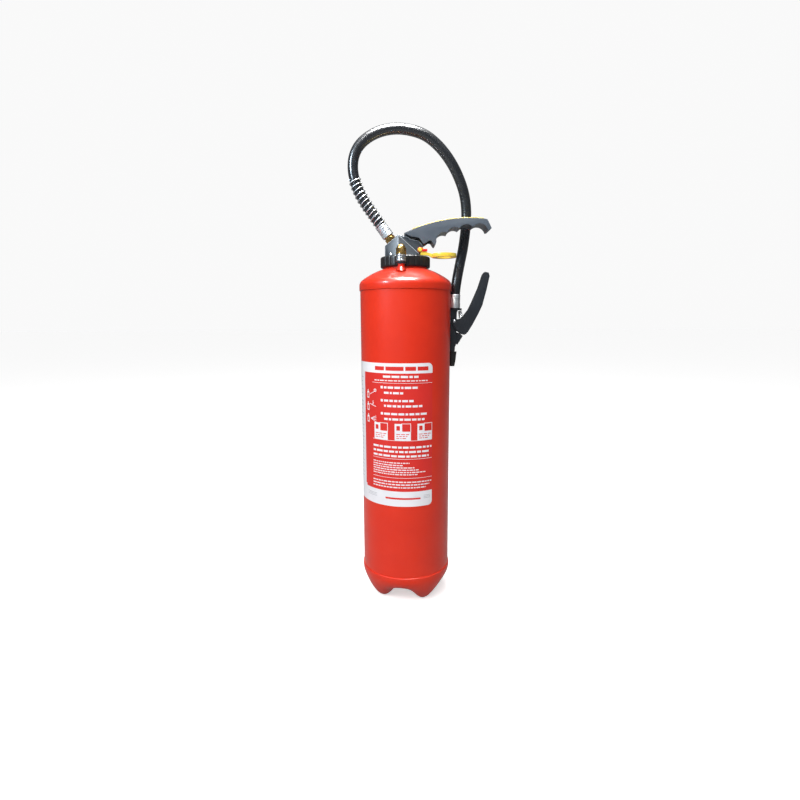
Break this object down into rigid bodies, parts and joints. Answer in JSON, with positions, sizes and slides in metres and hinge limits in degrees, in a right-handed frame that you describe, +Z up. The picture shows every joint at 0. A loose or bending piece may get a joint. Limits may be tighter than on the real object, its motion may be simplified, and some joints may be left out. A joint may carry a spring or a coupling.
{
  "type": "fire extinguisher",
  "caption": "Tall upright powder fire extinguisher with a carrying lever, ring nut, looped hose and a squeeze pistol parked in a side holder.",
  "frame": {"origin": "on the vessel's axis at floor level, in the middle of its four feet", "axes": "+Z up along the vessel's axis, -Y towards the relief valve and label, +X towards the tip of the carrying lever"},
  "size_m": [0.2499, 0.163, 0.8396],
  "materials": {
    "red_paint": "gloss",
    "label_print": "satin",
    "black_plastic": "satin",
    "grey_plastic": "satin",
    "grey_casting": "satin anodised",
    "steel": "brushed",
    "chrome": "polished",
    "brass": "turned",
    "rubber": "matte",
    "yellow_plastic": "gloss",
    "red_plastic": "gloss"
  },
  "bodies": {
    "root": {"barrel_shell": "red_paint", "top_dome": "red_paint", "base_dish": "red_paint", "label": "label_print", "neck_collar": "steel", "neck_gasket": "rubber", "cap_ring": "black_plastic", "head_block": "grey_casting", "facet_screw": "steel", "lever_pivot_pin": "steel", "striker_spring": "steel", "striker_seal": "rubber", "cartridge": "steel", "cartridge_seal": "brass", "dip_tube": "black_plastic", "dip_strainer": "black_plastic", "gas_tube": "black_plastic", "relief_boss": "red_paint", "relief_body": "chrome", "relief_cap": "brass", "relief_spring": "steel", "hose_nipple": "brass", "head_ferrule": "chrome", "guard_spring": "chrome", "hose": "rubber", "pistol_ferrule": "chrome", "pistol_body": "grey_plastic", "pistol_nozzle": "grey_plastic", "valve_nut": "grey_plastic", "stem_seal": "rubber", "trigger_pin": "steel", "trigger_spring": "steel", "nozzle_holder": "black_plastic", "holder_bracket": "steel"},
    "lever": {"control_lever": "grey_plastic", "lever_top_plate": "yellow_plastic"},
    "striker": {"striker": "steel"},
    "pin": {"safety_pin": "yellow_plastic", "pull_ring": "yellow_plastic", "seal_tag": "red_plastic"},
    "trigger": {"trigger": "grey_plastic"},
    "stem": {"valve_stem": "steel"},
    "poppet": {"relief_poppet": "brass"}
  },
  "joints": [
    {"name": "lever_press", "type": "hinge", "parent": "root", "child": "lever", "pos_m": [-0.004, 0, 0.6462], "axis": [0, 1, 0], "range_deg": [0, 8], "stiffness_Nm_per_rad": 2.5, "springref_deg": -6.88},
    {"name": "striker_push", "type": "slide", "parent": "root", "child": "striker", "axis": [0, 0, -1], "range_m": [0, 0.0025], "deforming": ["striker_spring"]},
    {"name": "pin_pull", "type": "slide", "parent": "root", "child": "pin", "axis": [0, -1, 0], "range_m": [0, 0.045]},
    {"name": "trigger_squeeze", "type": "hinge", "parent": "root", "child": "trigger", "pos_m": [0.089, 0.022, 0.5075], "axis": [0, -1, 0], "range_deg": [0, 14], "stiffness_Nm_per_rad": 0.8, "springref_deg": -8.59, "deforming": ["trigger_spring"]},
    {"name": "stem_pull", "type": "slide", "parent": "root", "child": "stem", "axis": [0.5, 0, 0.866], "range_m": [0, 0.0054]},
    {"name": "relief_lift", "type": "slide", "parent": "root", "child": "poppet", "axis": [0, 0, 1], "range_m": [0, 0.002], "stiffness_N_per_m": 800, "springref_m": -0.002, "deforming": ["relief_spring"]}
  ],
  "couplings": [
    {"joint": "striker_push", "follows": "lever_press", "m_per_rad": 0.0179},
    {"joint": "stem_pull", "follows": "trigger_squeeze", "m_per_rad": 0.0218}
  ]
}
